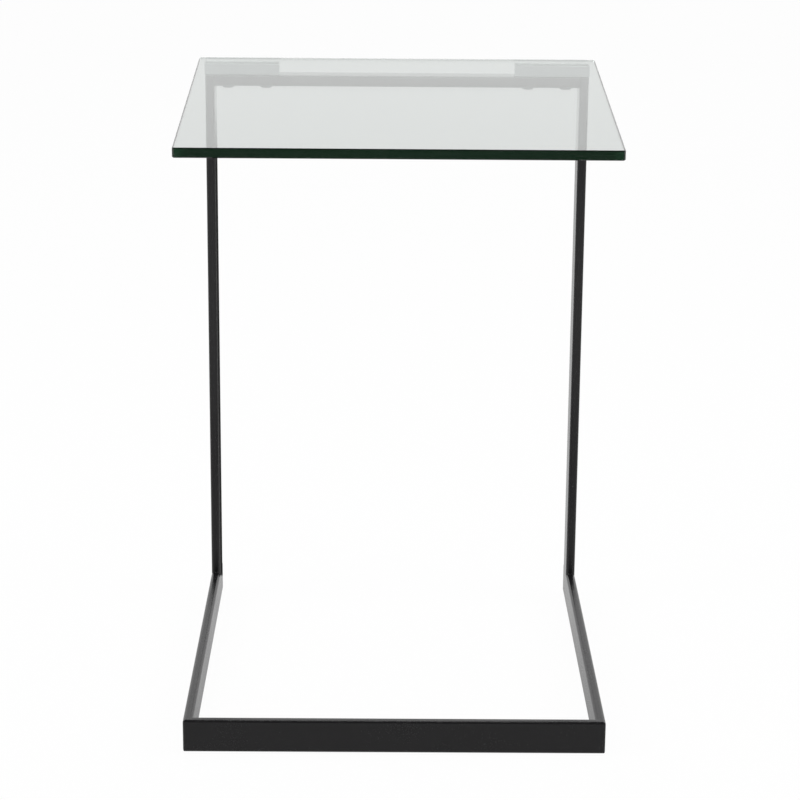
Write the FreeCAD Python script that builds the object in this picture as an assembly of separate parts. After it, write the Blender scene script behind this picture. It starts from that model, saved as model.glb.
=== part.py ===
import FreeCAD, Part
import math
import os

# C-shaped side table: a square glass top on a frame of flat black tube.
# The base is a U on the floor, closed at the front, and two posts rise from its rear ends.
# A rail joins the posts at the top, and two bonded steel bars on it carry the glass.
# Millimetres, +Z up, and the open side of the C faces -Y.
# The origin is on the floor, under the middle of the whole outline.

V = FreeCAD.Vector
X_AXIS = V(1, 0, 0)
Y_AXIS = V(0, 1, 0)
Z_AXIS = V(0, 0, 1)
ORIGIN = V(0, 0, 0)

# Glass top, with its upper face at the table's height
table_height = 629.0
glass_width = 431.0
glass_depth = 430.0
glass_thickness = 10.0
glass_corner = 3.0
glass_arris = 0.8
# How far the glass reaches past the posts' outer faces and behind the bars
glass_side_overhang = 7.5
glass_rear_overhang = 8.5

# Side frames, which lean in by the toe-in from their front ends to their rear ends
side_length = 439.5
side_toe_in = 7.0

# Flat tube of the base and the posts, and of the top rail
tube_tall = 35.0
tube_thick = 10.0
tube_wall = 1.5
tube_corner = 3.0
bore_corner = 1.0
# Upright round ground on the mitred front corners
front_corner = 3.0
rail_deep = 20.0
rail_tall = 12.0
rail_corner = 2.0

# Bars that carry the glass, set back from the rail's front, and the adhesive on them
bar_length = 81.0
bar_set_back = 2.0
bar_deep = 17.0
bar_tall = 12.0
bar_edge = 0.6
bar_overhang = 0.5
bond_thickness = 0.3
bond_margin = 1.0

# M6 furniture screws, from below through the rail into the bars
screw_diameter = 6.0
screw_spacing = 41.0
screw_in_bar = 8.5
screw_head_diameter = 13.0
screw_head_height = 2.8
screw_head_round = 1.2
screw_tip_chamfer = 0.6
screw_tip_gap = 1.5
socket_across = 4.0
socket_deep = 3.2
rail_hole_clearance = 0.3
thread_clearance = 0.1

# Post's foot, coped over the side rail's round shoulders, and the weld bead in front of it
cope_stop = 1.0
weld_leg = 1.5
weld_length = 6.0

# Plugs in the tubes' open ends
plug_lip = 1.5
plug_reach = 14.0
plug_clearance = 0.15

# Floor pads
pad_thickness = 1.5
pad_length = 30.0
pad_width = 6.0
pad_corner = 2.5
pad_inset = 20.0

# Heights that follow from the sizes above
base_top = pad_thickness + tube_tall
glass_bottom = table_height - glass_thickness
rail_top = glass_bottom - bond_thickness - bar_tall
rail_bottom = rail_top - rail_tall
post_top = rail_top - plug_lip

# Plan that follows from them: the posts stand in from the glass's sides,
# and the whole runs from the front rail's face to the rear plugs' lips
toe = math.asin(side_toe_in / side_length)
mitre_angle = (90 - math.degrees(toe)) / 2
post_front = side_length - tube_tall
base_width = glass_width - 2 * glass_side_overhang + 2 * post_front * math.sin(toe)
whole_depth = (side_length + plug_lip) * math.cos(toe)
front_face = -whole_depth / 2
rail_front = front_face + post_front * math.cos(toe) - tube_thick * math.sin(toe)
bar_front = rail_front + bar_set_back
glass_front = bar_front + bar_deep + glass_rear_overhang - glass_depth
reach = base_width + whole_depth


def rounded_box(size, axis, corner):
    """Box from the origin, with the edges along the axis rounded."""
    box = Part.makeBox(size.x, size.y, size.z)
    edges = [e for e in box.Edges if abs(e.tangentAt(e.FirstParameter).dot(axis)) > 0.99]
    return box.makeFillet(corner, edges)


def tube(size, axis, corner):
    """Hollow tube from the origin, with its bore along the axis."""
    across = V(1, 1, 1) - axis
    bore = rounded_box(size - across * (2 * tube_wall), axis, bore_corner)
    bore.translate(across * tube_wall)
    return rounded_box(size, axis, corner).cut(bore)


def side_placement():
    """Placement of the right side frame: from its front outer corner, turned in towards the rear."""
    corner = V(base_width / 2, front_face, 0)
    return FreeCAD.Placement(corner, FreeCAD.Rotation(Z_AXIS, math.degrees(toe)))


def on_right(shape):
    """Put a shape drawn in the side frame's own frame in its place on the right."""
    placed = shape.copy()
    placed.transformShape(side_placement().toMatrix())
    return placed


def mirrored(shape):
    """The same piece on the left."""
    return shape.mirror(ORIGIN, X_AXIS)


def mitre_block(turn):
    """Large block with one face on the mitre plane of the right front corner."""
    block = Part.makeBox(2 * reach, reach, 2 * reach, V(-reach, 0, -reach))
    block.rotate(ORIGIN, Z_AXIS, turn)
    block.translate(V(base_width / 2, front_face, 0))
    return block


def base_outline():
    """Solid inside the base's outer faces, with its front corners rounded."""
    front = side_placement().multVec(ORIGIN)
    rear = side_placement().multVec(V(0, side_length, 0))
    corners = [front, rear, V(-rear.x, rear.y, 0), V(-front.x, front.y, 0), front]
    block = Part.Face(Part.makePolygon(corners)).extrude(Z_AXIS * table_height)
    uprights = [e for e in block.Edges if e.BoundBox.ZLength > table_height / 2]
    front_edges = [e for e in uprights if e.BoundBox.YMax < front_face + tube_thick]
    return block.makeFillet(front_corner, front_edges)


def front_rail():
    rail = tube(V(base_width, tube_thick, tube_tall), X_AXIS, tube_corner)
    rail.translate(V(-base_width / 2, front_face, pad_thickness))
    behind_mitre = mitre_block(-mitre_angle)
    return rail.cut(behind_mitre).cut(mirrored(behind_mitre)).common(base_outline())


def side_rail():
    rail = tube(V(tube_thick, side_length, tube_tall), Y_AXIS, tube_corner)
    rail.translate(V(-tube_thick, 0, pad_thickness))
    return on_right(rail).cut(mitre_block(180 - mitre_angle)).common(base_outline())


def post():
    """Post whose foot is coped over the side rail, which is drawn here without its bore."""
    shoulders = rounded_box(V(tube_thick, side_length, tube_tall), Y_AXIS, tube_corner)
    shoulders.translate(V(-tube_thick, 0, pad_thickness))
    foot = base_top - tube_corner + cope_stop
    upright = tube(V(tube_thick, tube_tall, post_top - foot), Z_AXIS, tube_corner)
    upright.translate(V(-tube_thick, post_front, foot))
    return on_right(upright.cut(shoulders))


def foot_weld():
    """Fillet bead along the middle of the post's front, on the side rail."""
    foot = V(-(tube_thick + weld_length) / 2, post_front, base_top)
    profile = Part.makePolygon([foot, foot - Y_AXIS * weld_leg, foot + Z_AXIS * weld_leg, foot])
    bead = Part.Face(profile).extrude(X_AXIS * weld_length)
    return on_right(bead)


def end_plug():
    """Plug with a lip over the tube's end and a body inside its bore; the end is at the origin."""
    lip = rounded_box(V(tube_thick, tube_tall, plug_lip), Z_AXIS, tube_corner)
    gap = tube_wall + plug_clearance
    body = rounded_box(V(tube_thick - 2 * gap, tube_tall - 2 * gap, plug_reach), Z_AXIS, bore_corner)
    body.translate(V(gap, gap, -plug_reach))
    return lip.fuse(body).removeSplitter()


def post_plug():
    plug = end_plug()
    plug.translate(V(-tube_thick, post_front, post_top))
    return on_right(plug)


def rear_plug():
    plug = end_plug()
    plug.rotate(ORIGIN, X_AXIS, -90)
    plug.translate(V(-tube_thick, side_length, base_top))
    return on_right(plug)


def floor_pad(start):
    """Pad under the side rail, from this distance along it."""
    pad = rounded_box(V(pad_width, pad_length, pad_thickness), Z_AXIS, pad_corner)
    pad.translate(V(-(tube_thick + pad_width) / 2, start, 0))
    return on_right(pad)


def bar_origin():
    """Front inner corner of the right bar's underside."""
    post_corner = side_placement().multVec(V(0, post_front, 0))
    return V(post_corner.x + bar_overhang - bar_length, bar_front, rail_top)


def screw_places():
    """Screw axes on the right, about the middle of the bar's lap on the rail."""
    bar_middle = bar_front + bar_deep / 2
    post_inside = side_placement().multVec(V(-tube_thick, post_front + rail_deep / 2, 0)).x
    lap_middle = (bar_origin().x + post_inside) / 2
    return [V(lap_middle + half * screw_spacing / 2, bar_middle, 0) for half in (-1, 1)]


def bar_screw():
    """Flat-headed screw, head down, with a hexagon socket; its head's seat is at the origin."""
    head = Part.makeCylinder(screw_head_diameter / 2, screw_head_height, V(0, 0, -screw_head_height))
    crown = [e for e in head.Edges if e.BoundBox.ZMax < -screw_head_height / 2]
    head = head.makeFillet(screw_head_round, crown)
    shank_long = rail_tall + screw_in_bar
    shank = Part.makeCylinder(screw_diameter / 2, shank_long)
    tip = [e for e in shank.Edges if e.BoundBox.ZMin > shank_long / 2]
    shank = shank.makeChamfer(screw_tip_chamfer, tip)
    spoke = V(socket_across / math.sqrt(3), 0, -screw_head_height)
    turns = [FreeCAD.Rotation(Z_AXIS, 60 * k) for k in range(7)]
    hexagon = Part.Face(Part.makePolygon([turn.multVec(spoke) for turn in turns]))
    return head.fuse(shank).removeSplitter().cut(hexagon.extrude(Z_AXIS * socket_deep))


def bar_screws():
    screws = []
    for place in screw_places():
        screw = bar_screw()
        screw.translate(place + Z_AXIS * rail_bottom)
        screws.append(screw)
    return Part.makeCompound(screws)


def top_rail():
    """Rail between the posts, with clearance holes for the screws."""
    rail = tube(V(base_width, rail_deep, rail_tall), X_AXIS, rail_corner)
    rail.translate(V(-base_width / 2, rail_front, rail_bottom))
    outboard = on_right(Part.makeBox(reach, 2 * reach, table_height, V(-tube_thick, -reach, 0)))
    radius = screw_diameter / 2 + rail_hole_clearance
    holes = [Part.makeCylinder(radius, table_height, place) for place in screw_places()]
    for cutter in [outboard] + holes:
        rail = rail.cut(cutter).cut(mirrored(cutter))
    return rail


def glass_bar():
    """Bar with two blind tapped holes in its underside."""
    bar = rounded_box(V(bar_length, bar_deep, bar_tall), X_AXIS, bar_edge)
    bar.translate(bar_origin())
    radius = screw_diameter / 2 + thread_clearance
    for place in screw_places():
        bar = bar.cut(Part.makeCylinder(radius, screw_in_bar + screw_tip_gap, place + Z_AXIS * rail_top))
    return bar


def bond_film():
    film = Part.makeBox(bar_length - 2 * bond_margin, bar_deep - 2 * bond_margin, bond_thickness)
    film.translate(bar_origin() + V(bond_margin, bond_margin, bar_tall))
    return film


def glass_top():
    """Square pane with small corner rounds and a ground arris all round."""
    pane = rounded_box(V(glass_width, glass_depth, glass_thickness), Z_AXIS, glass_corner)
    rims = [e for e in pane.Edges if e.BoundBox.ZLength < glass_thickness / 2]
    pane = pane.makeChamfer(glass_arris, rims)
    pane.translate(V(-glass_width / 2, glass_front, glass_bottom))
    return pane


rear_pad_start = side_length - pad_inset - pad_length
single_pieces = {
    "glass_top": glass_top(),
    "top_rail": top_rail(),
    "front_rail": front_rail(),
}
right_pieces = {
    "{}_bond_film": bond_film(),
    "{}_glass_bar": glass_bar(),
    "{}_bar_screws": bar_screws(),
    "{}_post": post(),
    "{}_post_plug": post_plug(),
    "{}_foot_weld": foot_weld(),
    "{}_side_rail": side_rail(),
    "{}_rear_plug": rear_plug(),
    "front_{}_pad": floor_pad(pad_inset),
    "rear_{}_pad": floor_pad(rear_pad_start),
}

os.makedirs("parts", exist_ok=True)
for name, shape in single_pieces.items():
    shape.exportStep("parts/" + name + ".step")
for name, shape in right_pieces.items():
    shape.exportStep("parts/" + name.format("right") + ".step")
    mirrored(shape).exportStep("parts/" + name.format("left") + ".step")
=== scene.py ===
import math

import bpy
from mathutils import Matrix, Vector


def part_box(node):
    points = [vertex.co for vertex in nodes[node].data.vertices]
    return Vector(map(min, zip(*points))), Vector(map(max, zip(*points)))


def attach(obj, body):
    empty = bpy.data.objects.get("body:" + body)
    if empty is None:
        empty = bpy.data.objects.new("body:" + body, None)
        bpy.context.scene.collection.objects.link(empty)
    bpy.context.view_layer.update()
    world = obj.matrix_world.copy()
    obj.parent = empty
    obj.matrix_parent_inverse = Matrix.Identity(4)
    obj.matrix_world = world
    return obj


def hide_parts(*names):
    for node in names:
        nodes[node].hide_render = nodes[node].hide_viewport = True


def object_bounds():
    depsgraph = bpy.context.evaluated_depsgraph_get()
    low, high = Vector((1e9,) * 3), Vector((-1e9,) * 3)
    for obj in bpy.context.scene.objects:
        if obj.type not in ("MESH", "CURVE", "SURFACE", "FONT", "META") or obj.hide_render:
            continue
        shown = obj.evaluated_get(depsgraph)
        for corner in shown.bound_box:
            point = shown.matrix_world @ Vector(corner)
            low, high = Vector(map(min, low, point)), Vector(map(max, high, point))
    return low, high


# C-shaped side table: a clear glass top on a frame of flat tube with a satin black coat.
# Metres, +Z up, and the open side of the C faces -Y.
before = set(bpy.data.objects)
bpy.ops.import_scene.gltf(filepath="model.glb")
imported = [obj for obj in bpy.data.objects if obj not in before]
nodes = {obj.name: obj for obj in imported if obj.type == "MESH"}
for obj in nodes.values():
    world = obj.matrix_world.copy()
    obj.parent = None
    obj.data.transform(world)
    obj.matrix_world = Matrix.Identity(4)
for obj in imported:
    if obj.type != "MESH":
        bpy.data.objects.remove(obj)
cad_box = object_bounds()
bpy.ops.object.select_all(action="DESELECT")

# The two sides, and the way each lies along X
SIDES = {"left": -1.0, "right": 1.0}

# Side frames, which lean in towards the rear, and their tube
SIDE_LENGTH = 0.4395
SIDE_TOE_IN = 0.007
POSTS_ACROSS = 0.416
TUBE_TALL = 0.035
TUBE_THICK = 0.010
TUBE_WALL = 0.0015
TUBE_CORNER = 0.003
TOE = math.asin(SIDE_TOE_IN / SIDE_LENGTH)
POST_FRONT = SIDE_LENGTH - TUBE_TALL
BASE_HALF_WIDTH = POSTS_ACROSS / 2 + POST_FRONT * math.sin(TOE)

# Weld bead in front of each post's foot
WELD_LEG = 0.0015
WELD_LONG = 0.006
WELD_RIPPLES = 7
WELD_VALLEY = 0.80
WELD_END = 0.55
WELD_FACETS = 24
WELD_SOFTENING = 2
CUT_HAIR = 1e-7

# Moulded plugs in the tubes' ends, with barbs that grip the bore
PLUG_LIP = 0.0015
PLUG_LIP_ROUND = 0.0007
PLUG_CLEARANCE = 0.00015
PLUG_BARBS = 4
BARB_PITCH = 0.0035
BARB_DEEP = 0.0004
PLUG_SHELL = 0.0012
PLUG_HOLLOW = 0.011

# Floor pads
PAD_THICK = 0.0015
PAD_LENGTH = 0.030
PAD_WIDTH = 0.006
PAD_CORNER = 0.0025
PAD_RIM = 0.0004
PAD_INSET = 0.020

# Adhesive films, a hair clear of the glass and the bars
FILM_HAIR = 0.00002
FILM_CORNER = 0.0025
FILM_RIM = 0.00008

# Glass: its clear faces, its ground edge with a painted green glow, and the arris between them, painted dark
# as shade
CLEAR = (1.0, 1.0, 1.0)
NO_GLOW = (0.0, 0.0, 0.0)
EDGE_GLOW = (0.0022, 0.0140, 0.0054)
ARRIS_PAINTED_SHADE = (0.03, 0.05, 0.04)
GROUND_EDGE = 0.11
GLASS_INDEX = 1.52
GLASS_TINT = (0.0, 0.27, 0.14, 1.0)
GLASS_DENSITY = 11.1

# How far a face's direction points up, where the edge mask fades out and where the flat begins
EDGE_TILT = (0.2, 0.6)
FLAT_TILT = (0.8, 0.95)

# Other surfaces
COAT_SPECULAR = 0.35
ADHESIVE_INDEX = 1.48
STEEL_GRAIN_SCALE = (0.013, 1.0, 1.0)
NOISE_DETAIL = 3.0

# Heights of the base and the posts
BASE_TOP = PAD_THICK + TUBE_TALL
POST_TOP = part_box("right_post")[1].z

# Steps in a rounded edge
ROUND_STEPS = 6
RIM_STEPS = 3
SMOOTH_ANGLE = math.radians(35.0)

# Tests that pick edges and faces: along an axis, across it, and at the same height
ALONG = 0.9
ACROSS = 0.1
SAME_HEIGHT = 1e-6

# Camera, as the photograph's edges give it
CAMERA_PLACE = Vector((-0.01746, -2.86691, 1.25270))
CAMERA_YAW = 0.00770
CAMERA_PITCH = 0.31874
CAMERA_ROLL = -0.00848
FOCAL_PIXELS = 2860.39
PICTURE_PIXELS = 800
SENSOR_WIDTH = 36.0

# Studio paper: the floor, its curve and the backdrop
SWEEP_HALF_WIDTH = 7.0
SWEEP_FRONT = -7.0
SWEEP_BACK = 4.4
SWEEP_HEIGHT = 6.0
SWEEP_CURVE = 1.2
SWEEP_CURVE_STEPS = 16
SWEEP_FOLD_REACH = 0.01
FLOOR_DROP = 0.0002

# Light of the paper in reflections: dim far in front, and shaded close in front of the table
SWEEP_DIM_PLACE = -2.7
SWEEP_BRIGHT_PLACE = -2.2
SHADE_PLACE = -0.3
SHADE_REACH = 0.6
SHADE_LIGHT = 0.62
SWEEP_GLOW = 0.97

# Light through the glass: white close to the table and paler farther off
THROUGH_GLASS = 0.575
THROUGH_NEAR = 1.2
THROUGH_FAR = 2.3

# Card of painted shade behind the left post, seen only in reflections, and how near a surface has to be to
# mirror it
CARD_WIDTH = 0.035
CARD_GAP = 0.012
CARD_ROUND = CARD_GAP / 4
CARD_LOW = 0.014
CARD_FADE = 0.50
CARD_HIGH = 0.56
CARD_REACH = 0.06
CARD_LIGHT = 0.045

# Room, and its walls in reflections
WHITE = (1.0, 1.0, 1.0, 1.0)
ROOM_LIGHT = 0.12
WALL_LIGHT = 0.70
WALL_FADE_FROM = 0.25
WALL_FADE_TO = 0.40


def value_node(tree, operation, first, second):
    """Result of a sum on two values, each a socket or a number."""
    node = tree.nodes.new("ShaderNodeMath")
    node.operation = operation
    for socket, value in zip(node.inputs, (first, second)):
        if isinstance(value, float):
            socket.default_value = value
        else:
            tree.links.new(value, socket)
    return node.outputs["Value"]


def spread(tree, value, low, high, start=0.0, end=1.0):
    """A value from start to end mapped to the range low to high, and held there."""
    node = tree.nodes.new("ShaderNodeMapRange")
    node.inputs["From Min"].default_value = start
    node.inputs["From Max"].default_value = end
    node.inputs["To Min"].default_value = low
    node.inputs["To Max"].default_value = high
    tree.links.new(value, node.inputs["Value"])
    return node.outputs["Result"]


def blend_colours(tree, factor, first, second):
    """Colour between two, by a mask."""
    node = tree.nodes.new("ShaderNodeMix")
    node.data_type = "RGBA"
    node.inputs["A"].default_value = (*first, 1.0)
    node.inputs["B"].default_value = (*second, 1.0)
    tree.links.new(factor, node.inputs["Factor"])
    return node.outputs["Result"]


def object_point(tree):
    """Place on the piece, in metres."""
    return tree.nodes.new("ShaderNodeTexCoord").outputs["Object"]


def stretched(tree, vector, scale):
    """The same place with each axis scaled, for grain that runs one way."""
    node = tree.nodes.new("ShaderNodeMapping")
    node.inputs["Scale"].default_value = scale
    tree.links.new(vector, node.inputs["Vector"])
    return node.outputs["Vector"]


def noise_in_group(tree, inputs, scale_name):
    """Noise over the surface at the scale that a group's input gives."""
    node = tree.nodes.new("ShaderNodeTexNoise")
    node.inputs["Detail"].default_value = NOISE_DETAIL
    tree.links.new(inputs["Place"], node.inputs["Vector"])
    tree.links.new(inputs[scale_name], node.inputs["Scale"])
    return node.outputs["Fac"]


def mottle_and_grain_group():
    """Group that gives a surface a mottled colour, an uneven gloss and a fine relief."""
    tree = bpy.data.node_groups.new("mottle_and_grain", "ShaderNodeTree")
    wanted = {
        "Place": "NodeSocketVector",
        "Mottle Scale": "NodeSocketFloat",
        "Grain Scale": "NodeSocketFloat",
        "Dark": "NodeSocketColor",
        "Light": "NodeSocketColor",
        "Smoothest": "NodeSocketFloat",
        "Roughest": "NodeSocketFloat",
        "Relief": "NodeSocketFloat",
    }
    for name, kind in wanted.items():
        tree.interface.new_socket(name, in_out="INPUT", socket_type=kind)
    given = {"Colour": "NodeSocketColor", "Roughness": "NodeSocketFloat", "Normal": "NodeSocketVector"}
    for name, kind in given.items():
        tree.interface.new_socket(name, in_out="OUTPUT", socket_type=kind)
    inputs = tree.nodes.new("NodeGroupInput").outputs
    outputs = tree.nodes.new("NodeGroupOutput").inputs
    mottle = noise_in_group(tree, inputs, "Mottle Scale")
    grain = noise_in_group(tree, inputs, "Grain Scale")
    colour = tree.nodes.new("ShaderNodeMix")
    colour.data_type = "RGBA"
    tree.links.new(mottle, colour.inputs["Factor"])
    tree.links.new(inputs["Dark"], colour.inputs["A"])
    tree.links.new(inputs["Light"], colour.inputs["B"])
    gloss = tree.nodes.new("ShaderNodeMapRange")
    both = value_node(tree, "ADD", mottle, grain)
    tree.links.new(value_node(tree, "MULTIPLY", both, 0.5), gloss.inputs["Value"])
    tree.links.new(inputs["Smoothest"], gloss.inputs["To Min"])
    tree.links.new(inputs["Roughest"], gloss.inputs["To Max"])
    relief = tree.nodes.new("ShaderNodeBump")
    tree.links.new(grain, relief.inputs["Height"])
    tree.links.new(inputs["Relief"], relief.inputs["Distance"])
    tree.links.new(colour.outputs["Result"], outputs["Colour"])
    tree.links.new(gloss.outputs["Result"], outputs["Roughness"])
    tree.links.new(relief.outputs["Normal"], outputs["Normal"])
    return tree


MOTTLE_AND_GRAIN = mottle_and_grain_group()


def new_material(name):
    """Empty node material with a surface shader joined to its output."""
    material = bpy.data.materials.new(name)
    material.use_nodes = True
    tree = material.node_tree
    tree.nodes.clear()
    output = tree.nodes.new("ShaderNodeOutputMaterial")
    shader = tree.nodes.new("ShaderNodeBsdfPrincipled")
    tree.links.new(shader.outputs["BSDF"], output.inputs["Surface"])
    return material, tree, shader, output


def textured(tree, place, mottle, grain, colours, gloss, relief):
    """The mottle and grain group with this surface's own values."""
    node = tree.nodes.new("ShaderNodeGroup")
    node.node_tree = MOTTLE_AND_GRAIN
    tree.links.new(place, node.inputs["Place"])
    node.inputs["Mottle Scale"].default_value = mottle
    node.inputs["Grain Scale"].default_value = grain
    for name, colour in zip(("Dark", "Light"), colours):
        node.inputs[name].default_value = (*colour, 1.0)
    for name, value in zip(("Smoothest", "Roughest"), gloss):
        node.inputs[name].default_value = value
    node.inputs["Relief"].default_value = relief
    return node.outputs


def finish_surface(tree, shader, texture):
    """Join a texture's colour, gloss and relief to the shader."""
    tree.links.new(texture["Colour"], shader.inputs["Base Color"])
    tree.links.new(texture["Roughness"], shader.inputs["Roughness"])
    tree.links.new(texture["Normal"], shader.inputs["Normal"])


def frame_coat():
    """Satin black powder coat with a fine orange peel."""
    material, tree, shader, _ = new_material("satin_black_coat")
    colours = (0.0085, 0.0080, 0.0088), (0.0125, 0.0118, 0.0128)
    texture = textured(
        tree, object_point(tree), mottle=14.0, grain=900.0,
        colours=colours, gloss=(0.20, 0.32), relief=3e-5,
    )
    finish_surface(tree, shader, texture)
    shader.inputs["Specular IOR Level"].default_value = COAT_SPECULAR
    return material


def bar_steel():
    """Bright drawn steel, with faint lines along the bar."""
    material, tree, shader, _ = new_material("drawn_bright_steel")
    along = stretched(tree, object_point(tree), STEEL_GRAIN_SCALE)
    colours = (0.34, 0.365, 0.365), (0.43, 0.455, 0.455)
    texture = textured(
        tree, along, mottle=900.0, grain=1400.0,
        colours=colours, gloss=(0.28, 0.44), relief=1e-5,
    )
    finish_surface(tree, shader, texture)
    shader.inputs["Metallic"].default_value = 1.0
    return material


def screw_zinc():
    """Black zinc plate on the screws."""
    material, tree, shader, _ = new_material("black_zinc")
    colours = (0.04, 0.04, 0.044), (0.075, 0.075, 0.08)
    texture = textured(
        tree, object_point(tree), mottle=260.0, grain=1200.0,
        colours=colours, gloss=(0.26, 0.44), relief=1e-5,
    )
    finish_surface(tree, shader, texture)
    shader.inputs["Metallic"].default_value = 1.0
    return material


def plug_plastic():
    """Moulded black plastic with a fine spark grain."""
    material, tree, shader, _ = new_material("moulded_black_plastic")
    colours = (0.013, 0.013, 0.013), (0.020, 0.020, 0.020)
    texture = textured(
        tree, object_point(tree), mottle=60.0, grain=1500.0,
        colours=colours, gloss=(0.46, 0.62), relief=4e-5,
    )
    finish_surface(tree, shader, texture)
    return material


def pad_rubber():
    """Matt black rubber."""
    material, tree, shader, _ = new_material("matt_rubber")
    colours = (0.018, 0.018, 0.018), (0.032, 0.032, 0.032)
    texture = textured(
        tree, object_point(tree), mottle=300.0, grain=1100.0,
        colours=colours, gloss=(0.74, 0.92), relief=6e-5,
    )
    finish_surface(tree, shader, texture)
    return material


def bond_adhesive():
    """Clear cured adhesive, faintly milky."""
    material, tree, shader, _ = new_material("clear_adhesive")
    colours = (0.93, 0.95, 0.94), (1.0, 1.0, 1.0)
    texture = textured(
        tree, object_point(tree), mottle=180.0, grain=700.0,
        colours=colours, gloss=(0.02, 0.12), relief=4e-7,
    )
    finish_surface(tree, shader, texture)
    shader.inputs["Transmission Weight"].default_value = 1.0
    shader.inputs["IOR"].default_value = ADHESIVE_INDEX
    return material


def edge_masks(tree):
    """Masks of the upright edge faces and of the slanted arris, from the face's own direction."""
    normal = tree.nodes.new("ShaderNodeTexCoord").outputs["Normal"]
    split = tree.nodes.new("ShaderNodeSeparateXYZ")
    tree.links.new(normal, split.inputs["Vector"])
    tilt = value_node(tree, "ABSOLUTE", split.outputs["Z"], 0.0)
    upright = spread(tree, tilt, 1.0, 0.0, *EDGE_TILT)
    not_level = spread(tree, tilt, 1.0, 0.0, *FLAT_TILT)
    return upright, value_node(tree, "SUBTRACT", not_level, upright)


def clear_glass():
    """Clear float glass whose iron shows green along a long path, with a painted green glow on the ground
    edge and painted shade on the arris.
    """
    material, tree, shader, output = new_material("clear_float_glass")
    shader.inputs["Transmission Weight"].default_value = 1.0
    shader.inputs["IOR"].default_value = GLASS_INDEX
    upright, arris = edge_masks(tree)
    # Painted shade: the arris is coloured dark green to give the dark lines that light makes along it
    tree.links.new(blend_colours(tree, arris, CLEAR, ARRIS_PAINTED_SHADE), shader.inputs["Base Color"])
    texture = textured(
        tree, object_point(tree), mottle=9.0, grain=40.0,
        colours=(CLEAR, CLEAR), gloss=(0.0, 0.02), relief=0.0,
    )
    ground = value_node(tree, "MULTIPLY", upright, GROUND_EDGE)
    tree.links.new(value_node(tree, "MAXIMUM", texture["Roughness"], ground), shader.inputs["Roughness"])
    # Painted glow: the upright ground edge gives off a faint green light
    tree.links.new(blend_colours(tree, upright, NO_GLOW, EDGE_GLOW), shader.inputs["Emission Color"])
    shader.inputs["Emission Strength"].default_value = 1.0
    absorption = tree.nodes.new("ShaderNodeVolumeAbsorption")
    absorption.inputs["Color"].default_value = GLASS_TINT
    absorption.inputs["Density"].default_value = GLASS_DENSITY
    tree.links.new(absorption.outputs["Volume"], output.inputs["Volume"])
    return material


def dress(names, material):
    """Give CAD nodes one material."""
    for name in names:
        nodes[name].data.materials.clear()
        nodes[name].data.materials.append(material)


def start_block(low, high):
    """Block between two corners, to be shaped further."""
    low, high = Vector(low), Vector(high)
    bpy.ops.object.select_all(action="DESELECT")
    bpy.ops.mesh.primitive_cube_add(size=1.0, location=(low + high) / 2)
    block = bpy.context.object
    block.scale = high - low
    bpy.ops.object.transform_apply(location=True, rotation=False, scale=True)
    return block


def edit_part(piece, kind, wanted):
    """Open a piece for editing, with the faces or edges selected whose middle and direction are wanted."""
    bpy.context.view_layer.objects.active = piece
    bpy.context.tool_settings.mesh_select_mode = (False, kind == "edges", kind == "faces")
    bpy.ops.object.mode_set(mode="EDIT")
    bpy.ops.mesh.select_all(action="DESELECT")
    bpy.ops.object.mode_set(mode="OBJECT")
    mesh = piece.data
    if kind == "faces":
        for face in mesh.polygons:
            face.select = wanted(face.center, face.normal)
    else:
        for edge in mesh.edges:
            first, second = (mesh.vertices[i].co for i in edge.vertices)
            edge.select = wanted((first + second) / 2, (second - first).normalized())
    bpy.ops.object.mode_set(mode="EDIT")


def close_edit():
    """Leave a piece that was open for editing."""
    bpy.ops.object.mode_set(mode="OBJECT")


def round_edges(piece, wanted, radius, steps):
    """Round the wanted edges of a piece."""
    edit_part(piece, "edges", wanted)
    bpy.ops.mesh.bevel(offset=radius, segments=steps, affect="EDGES")
    close_edit()


def is_upright(middle, direction):
    """Test for upright edges."""
    return abs(direction.z) > ALONG


def at_height(height):
    """Test for level edges at one height."""
    return lambda middle, direction: abs(middle.z - height) < SAME_HEIGHT and abs(direction.z) < ACROSS


def smooth_shading(piece):
    """Shade a piece smooth, with its sharper edges kept."""
    bpy.ops.object.select_all(action="DESELECT")
    piece.select_set(True)
    bpy.context.view_layer.objects.active = piece
    bpy.ops.object.shade_smooth_by_angle(angle=SMOOTH_ANGLE)
    piece.select_set(False)


def push_out(step, scale, middle):
    """Extrude what is selected by a step, then scale it level about a point."""
    bpy.ops.mesh.extrude_region_move(TRANSFORM_OT_translate={"value": step})
    bpy.ops.transform.resize(value=(*scale, 1.0), center_override=middle)


def moulded_plug():
    """Plug with a crowned lip and a barbed, hollow body, pointing up, with the tube's end at height 0."""
    plug = start_block((-TUBE_THICK, 0.0, 0.0), (0.0, TUBE_TALL, PLUG_LIP))
    round_edges(plug, is_upright, TUBE_CORNER, ROUND_STEPS)
    round_edges(plug, at_height(PLUG_LIP), PLUG_LIP_ROUND, RIM_STEPS)
    gap = TUBE_WALL + PLUG_CLEARANCE
    wide = Vector((TUBE_THICK - 2 * gap, TUBE_TALL - 2 * gap))
    narrow = wide - Vector((2 * BARB_DEEP, 2 * BARB_DEEP))
    wider = wide.x / narrow.x, wide.y / narrow.y
    narrower = narrow.x / wide.x, narrow.y / wide.y
    edit_part(plug, "faces", lambda middle, normal: normal.z < -ALONG)
    bpy.ops.mesh.inset(thickness=gap + BARB_DEEP)
    for barb in range(PLUG_BARBS):
        middle = (-TUBE_THICK / 2, TUBE_TALL / 2, -barb * BARB_PITCH)
        push_out((0.0, 0.0, 0.0), wider, middle)
        push_out((0.0, 0.0, -BARB_PITCH), narrower, middle)
    hollow = narrow - Vector((2 * PLUG_SHELL, 2 * PLUG_SHELL))
    push_out((0.0, 0.0, 0.0), (hollow.x / narrow.x, hollow.y / narrow.y), middle)
    bpy.ops.mesh.extrude_region_move(TRANSFORM_OT_translate={"value": (0.0, 0.0, PLUG_HOLLOW)})
    close_edit()
    smooth_shading(plug)
    return plug


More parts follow.
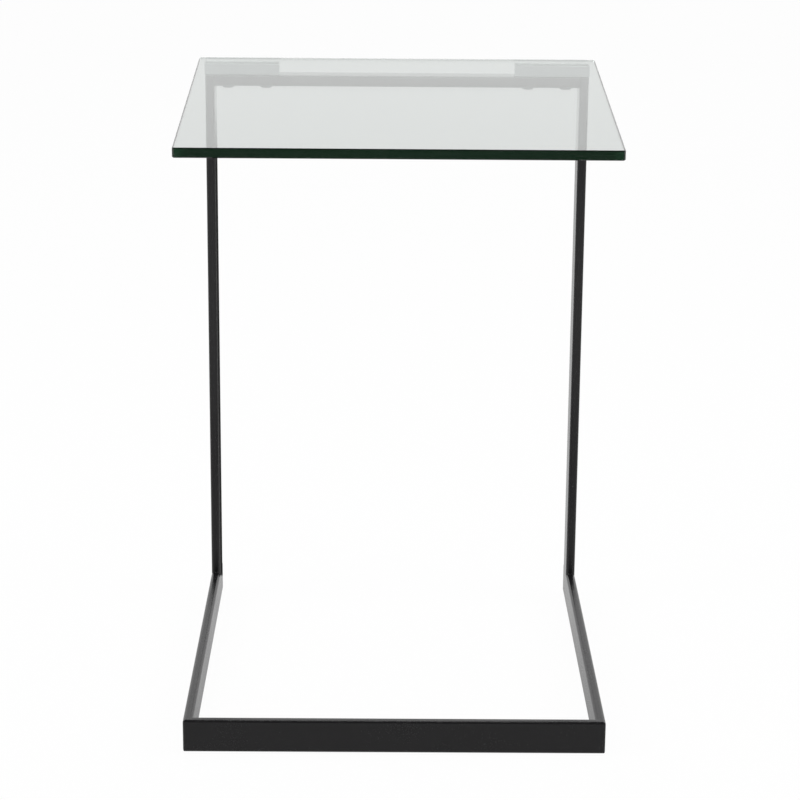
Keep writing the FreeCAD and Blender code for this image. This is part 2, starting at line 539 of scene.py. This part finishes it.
def floor_pad():
    """Rubber pad with rounded corners and soft lower rim, from the origin along Y."""
    pad = start_block((-PAD_WIDTH / 2, 0.0, 0.0), (PAD_WIDTH / 2, PAD_LENGTH, PAD_THICK))
    round_edges(pad, is_upright, PAD_CORNER, ROUND_STEPS)
    round_edges(pad, at_height(0.0), PAD_RIM, RIM_STEPS)
    smooth_shading(pad)
    return pad


def weld_bead():
    """Row of weld ripples along X, in the corner of a face at Y 0 and a face at Z 0."""
    bpy.ops.object.select_all(action="DESELECT")
    bpy.ops.mesh.primitive_cylinder_add(
        vertices=WELD_FACETS, radius=WELD_LEG, depth=WELD_LONG, rotation=(0.0, math.pi / 2, 0.0)
    )
    bead = bpy.context.object
    bpy.ops.object.transform_apply(rotation=True)
    half_ripple = WELD_LONG / (2 * WELD_RIPPLES)
    for step in range(1, 2 * WELD_RIPPLES):
        along = step * half_ripple - WELD_LONG / 2
        ring = (along, 0.0, 0.0)
        narrow = 1.0 if step % 2 else WELD_VALLEY
        edit_part(bead, "faces", lambda middle, normal: True)
        bpy.ops.mesh.bisect(plane_co=ring, plane_no=(1.0, 0.0, 0.0), threshold=CUT_HAIR)
        bpy.ops.transform.resize(value=(1.0, narrow, narrow), center_override=ring)
        close_edit()
    edit_part(bead, "faces", lambda middle, normal: abs(normal.x) > ALONG)
    bpy.ops.transform.resize(value=(1.0, WELD_END, WELD_END), center_override=(0.0, 0.0, 0.0))
    close_edit()
    soften = bead.modifiers.new("ripples", "SUBSURF")
    soften.levels = soften.render_levels = WELD_SOFTENING
    bpy.ops.object.modifier_apply(modifier=soften.name)
    for facing in ((0.0, 1.0, 0.0), (0.0, 0.0, -1.0)):
        edit_part(bead, "faces", lambda middle, normal: True)
        bpy.ops.mesh.bisect(
            plane_co=(0.0, 0.0, 0.0), plane_no=facing, clear_outer=True, use_fill=True, threshold=CUT_HAIR
        )
        close_edit()
    smooth_shading(bead)
    return bead


def adhesive_film(node):
    """Squeezed film with rounded corners and a soft rim, just inside a node's box."""
    low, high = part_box(node)
    hair = Vector((0.0, 0.0, FILM_HAIR))
    film = start_block(low + hair, high - hair)
    round_edges(film, is_upright, FILM_CORNER, ROUND_STEPS)
    for height in (low.z + FILM_HAIR, high.z - FILM_HAIR):
        round_edges(film, at_height(height), FILM_RIM, RIM_STEPS)
    smooth_shading(film)
    return film


def side_place(side):
    """From the right side frame's own axes, at its front outer corner, to the table's axes on one side."""
    turned = Matrix.Translation((BASE_HALF_WIDTH, cad_box[0].y, 0.0)) @ Matrix.Rotation(TOE, 4, "Z")
    return Matrix.Scale(SIDES[side], 4, (1.0, 0.0, 0.0)) @ turned


def stand_for(piece, name, node, material):
    """Show a finished piece in place of a CAD node."""
    piece.name = name
    piece.data.name = name
    piece.data.materials.append(material)
    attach(piece, "root")
    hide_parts(node)


def place_copies(model, place, name, node, material):
    """Put a copy of a model, with its own mesh, at its place on each side."""
    for side in SIDES:
        matrix = side_place(side) @ place
        copy = bpy.data.objects.new(name.format(side), model.data.copy())
        copy.data.transform(matrix)
        if matrix.determinant() < 0:
            copy.data.flip_normals()
        bpy.context.scene.collection.objects.link(copy)
        stand_for(copy, name.format(side), node.format(side), material)


def modelled_pieces():
    """Pieces with more form than their CAD nodes, in those nodes' places."""
    plastic, rubber, coat, adhesive = plug_plastic(), pad_rubber(), frame_coat(), bond_adhesive()
    plug, pad, bead = moulded_plug(), floor_pad(), weld_bead()
    on_post = Matrix.Translation((0.0, POST_FRONT, POST_TOP))
    on_rail = Matrix.Translation((0.0, SIDE_LENGTH, BASE_TOP)) @ Matrix.Rotation(-math.pi / 2, 4, "X")
    at_foot = Matrix.Translation((-TUBE_THICK / 2, POST_FRONT, BASE_TOP))
    front_pad = Matrix.Translation((-TUBE_THICK / 2, PAD_INSET, 0.0))
    rear_pad = Matrix.Translation((-TUBE_THICK / 2, SIDE_LENGTH - PAD_INSET - PAD_LENGTH, 0.0))
    place_copies(plug, on_post, "{}_post_plug_moulding", "{}_post_plug", plastic)
    place_copies(plug, on_rail, "{}_rear_plug_moulding", "{}_rear_plug", plastic)
    place_copies(bead, at_foot, "{}_foot_weld_bead", "{}_foot_weld", coat)
    place_copies(pad, front_pad, "front_{}_pad_moulding", "front_{}_pad", rubber)
    place_copies(pad, rear_pad, "rear_{}_pad_moulding", "rear_{}_pad", rubber)
    for model in (plug, pad, bead):
        bpy.data.objects.remove(model)
    for side in SIDES:
        film = adhesive_film(f"{side}_bond_film")
        stand_for(film, f"{side}_adhesive_film", f"{side}_bond_film", adhesive)
    tubes = [f"{side}_{piece}" for side in SIDES for piece in ("post", "side_rail")]
    dress(["front_rail", "top_rail"] + tubes, coat)
    dress([f"{side}_glass_bar" for side in SIDES], bar_steel())
    dress([f"{side}_bar_screws" for side in SIDES], screw_zinc())
    dress(["glass_top"], clear_glass())


def sweep_paper():
    """White studio paper that shows as the white of the picture and keeps a faint shadow."""
    material = bpy.data.materials.new("white_sweep_paper")
    material.use_nodes = True
    tree = material.node_tree
    tree.nodes.clear()
    output = tree.nodes.new("ShaderNodeOutputMaterial")
    place = object_point(tree)
    paper = tree.nodes.new("ShaderNodeBsdfDiffuse")
    colours = (0.79, 0.79, 0.79), (0.81, 0.81, 0.81)
    texture = textured(tree, place, mottle=4.0, grain=400.0, colours=colours, gloss=(0.8, 0.9), relief=0.0)
    tree.links.new(texture["Colour"], paper.inputs["Color"])
    path = tree.nodes.new("ShaderNodeLightPath").outputs
    seen = value_node(tree, "MAXIMUM", path["Is Camera Ray"], path["Is Glossy Ray"])
    seen = value_node(tree, "MAXIMUM", seen, path["Is Transmission Ray"])
    split = tree.nodes.new("ShaderNodeSeparateXYZ")
    tree.links.new(place, split.inputs["Vector"])
    falloff = spread(tree, split.outputs["Y"], ROOM_LIGHT, 1.0, SWEEP_DIM_PLACE, SWEEP_BRIGHT_PLACE)
    away = value_node(tree, "ABSOLUTE", value_node(tree, "SUBTRACT", split.outputs["Y"], SHADE_PLACE), 0.0)
    shade = spread(tree, away, SHADE_LIGHT, 1.0, 0.0, SHADE_REACH)
    strength = tree.nodes.new("ShaderNodeMix")
    tree.links.new(path["Is Transmission Ray"], strength.inputs["Factor"])
    tree.links.new(value_node(tree, "MULTIPLY", falloff, shade), strength.inputs["A"])
    distance = tree.nodes.new("ShaderNodeVectorMath")
    distance.operation = "LENGTH"
    tree.links.new(place, distance.inputs[0])
    through = spread(tree, distance.outputs["Value"], 1.0, THROUGH_GLASS, THROUGH_NEAR, THROUGH_FAR)
    tree.links.new(through, strength.inputs["B"])
    glow = tree.nodes.new("ShaderNodeEmission")
    strongest = value_node(tree, "MAXIMUM", strength.outputs["Result"], path["Is Camera Ray"])
    tree.links.new(strongest, glow.inputs["Strength"])
    mixed = tree.nodes.new("ShaderNodeMixShader")
    tree.links.new(value_node(tree, "MULTIPLY", seen, SWEEP_GLOW), mixed.inputs["Fac"])
    tree.links.new(paper.outputs["BSDF"], mixed.inputs[1])
    tree.links.new(glow.outputs["Emission"], mixed.inputs[2])
    one_sided = tree.nodes.new("ShaderNodeMixShader")
    tree.links.new(tree.nodes.new("ShaderNodeNewGeometry").outputs["Backfacing"], one_sided.inputs["Fac"])
    tree.links.new(mixed.outputs["Shader"], one_sided.inputs[1])
    tree.links.new(tree.nodes.new("ShaderNodeBsdfTransparent").outputs["BSDF"], one_sided.inputs[2])
    tree.links.new(one_sided.outputs["Shader"], output.inputs["Surface"])
    return material


def studio_sweep():
    """Floor that curves up into the backdrop behind the table."""
    centre = (0.0, (SWEEP_FRONT + SWEEP_BACK) / 2, -FLOOR_DROP)
    bpy.ops.object.select_all(action="DESELECT")
    bpy.ops.mesh.primitive_plane_add(size=1.0, location=centre)
    sweep = bpy.context.object
    sweep.name = "studio_sweep"
    sweep.scale = (2 * SWEEP_HALF_WIDTH, SWEEP_BACK - SWEEP_FRONT, 1.0)
    bpy.ops.object.transform_apply(location=True, scale=True)
    level = at_height(-FLOOR_DROP)

    def at_fold(middle, direction):
        return level(middle, direction) and middle.y > SWEEP_BACK - SWEEP_FOLD_REACH

    edit_part(sweep, "edges", at_fold)
    bpy.ops.mesh.extrude_region_move(TRANSFORM_OT_translate={"value": (0.0, 0.0, SWEEP_HEIGHT)})
    close_edit()
    round_edges(sweep, at_fold, SWEEP_CURVE, SWEEP_CURVE_STEPS)
    bpy.ops.object.shade_smooth()
    sweep.data.materials.append(sweep_paper())
    sweep.select_set(False)


def reflection_shade_material():
    """Painted shade: a dark grey emission that only light mirrored close to it meets, and that fades towards
    its top.
    """
    material = bpy.data.materials.new("painted_reflection_shade")
    material.use_nodes = True
    tree = material.node_tree
    tree.nodes.clear()
    output = tree.nodes.new("ShaderNodeOutputMaterial")
    path = tree.nodes.new("ShaderNodeLightPath").outputs
    paper = tree.nodes.new("ShaderNodeEmission")
    paper.inputs["Strength"].default_value = CARD_LIGHT
    mixed = tree.nodes.new("ShaderNodeMixShader")
    split = tree.nodes.new("ShaderNodeSeparateXYZ")
    tree.links.new(object_point(tree), split.inputs["Vector"])
    shown = value_node(tree, "GREATER_THAN", path["Is Glossy Ray"], path["Is Transmission Ray"])
    shown = value_node(tree, "MULTIPLY", shown, value_node(tree, "LESS_THAN", path["Ray Length"], CARD_REACH))
    fade = spread(tree, split.outputs["Z"], 1.0, 0.0, CARD_FADE, CARD_HIGH)
    tree.links.new(value_node(tree, "MULTIPLY", shown, fade), mixed.inputs["Fac"])
    tree.links.new(tree.nodes.new("ShaderNodeBsdfTransparent").outputs["BSDF"], mixed.inputs[1])
    tree.links.new(paper.outputs["Emission"], mixed.inputs[2])
    tree.links.new(mixed.outputs["Shader"], output.inputs["Surface"])
    return material


def reflection_shade_card():
    """Card of painted shade close behind the left post, which darkens the reflections on that post's inner
    face and keeps it dark.
    """
    low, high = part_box("left_post")
    inner = low.x + TUBE_THICK
    front = high.y + CARD_GAP
    card = start_block((inner, front, CARD_LOW), (inner + CARD_WIDTH, front + CARD_GAP, CARD_HIGH))
    round_edges(card, is_upright, CARD_ROUND, RIM_STEPS)
    card.name = "reflection_shade_card"
    card.data.materials.append(reflection_shade_material())
    card.visible_camera = False
    card.visible_diffuse = False
    card.visible_shadow = False
    card.select_set(False)


def room():
    """Dim room with light walls low down, white where the camera sees it and pale through the glass."""
    world = bpy.data.worlds.new("dim_room")
    world.use_nodes = True
    tree = world.node_tree
    tree.nodes.clear()
    output = tree.nodes.new("ShaderNodeOutputWorld")
    light = tree.nodes.new("ShaderNodeBackground")
    light.inputs["Color"].default_value = WHITE
    path = tree.nodes.new("ShaderNodeLightPath").outputs
    split = tree.nodes.new("ShaderNodeSeparateXYZ")
    tree.links.new(tree.nodes.new("ShaderNodeTexCoord").outputs["Generated"], split.inputs["Vector"])
    walls = spread(tree, split.outputs["Z"], WALL_LIGHT, ROOM_LIGHT, WALL_FADE_FROM, WALL_FADE_TO)
    mirrored = value_node(tree, "MULTIPLY", walls, path["Is Glossy Ray"])
    through = value_node(tree, "MULTIPLY", path["Is Transmission Ray"], THROUGH_GLASS)
    strength = value_node(tree, "MAXIMUM", mirrored, ROOM_LIGHT)
    strength = value_node(tree, "MAXIMUM", strength, through)
    strength = value_node(tree, "MAXIMUM", strength, path["Is Camera Ray"])
    tree.links.new(strength, light.inputs["Strength"])
    tree.links.new(light.outputs["Background"], output.inputs["Surface"])
    bpy.context.scene.world = world


def softbox(name, place, aim, width, height, power):
    """Large soft lamp turned towards a point."""
    lamp = bpy.data.lights.new(name, "AREA")
    lamp.shape = "RECTANGLE"
    lamp.size = width
    lamp.size_y = height
    lamp.energy = power
    body = bpy.data.objects.new(name, lamp)
    bpy.context.scene.collection.objects.link(body)
    turn = (Vector(aim) - Vector(place)).to_track_quat("-Z", "Y")
    body.matrix_world = Matrix.Translation(place) @ turn.to_matrix().to_4x4()
    return body


def studio_lamps():
    """Soft lamps at the sides, behind and above; the one above doesn't show in reflections."""
    table = (0.0, 0.0, 0.3)
    softbox("left_softbox", place=(-2.4, -0.6, 1.9), aim=table, width=1.6, height=1.6, power=40.0)
    softbox("right_softbox", place=(2.4, -0.4, 1.9), aim=table, width=1.6, height=1.6, power=40.0)
    softbox("back_softbox", place=(0.0, 3.6, 1.6), aim=(0.0, 0.0, 1.6), width=5.0, height=1.8, power=6.5)
    high = softbox("high_softbox", place=(0.0, 0.6, 3.2), aim=table, width=4.0, height=3.4, power=72.0)
    high.visible_glossy = False


def picture_camera():
    """Camera at the photograph's place, turn and lens."""
    lens = bpy.data.cameras.new("picture_camera")
    lens.sensor_width = SENSOR_WIDTH
    lens.lens = FOCAL_PIXELS * SENSOR_WIDTH / PICTURE_PIXELS
    camera = bpy.data.objects.new("picture_camera", lens)
    bpy.context.scene.collection.objects.link(camera)
    turn = (
        Matrix.Rotation(-CAMERA_YAW, 4, "Z")
        @ Matrix.Rotation(math.pi / 2 - CAMERA_PITCH, 4, "X")
        @ Matrix.Rotation(-CAMERA_ROLL, 4, "Z")
    )
    camera.matrix_world = Matrix.Translation(CAMERA_PLACE) @ turn
    bpy.context.scene.camera = camera


modelled_pieces()
studio_sweep()
reflection_shade_card()
room()
studio_lamps()
picture_camera()
bpy.context.scene.view_settings.view_transform = "Standard"
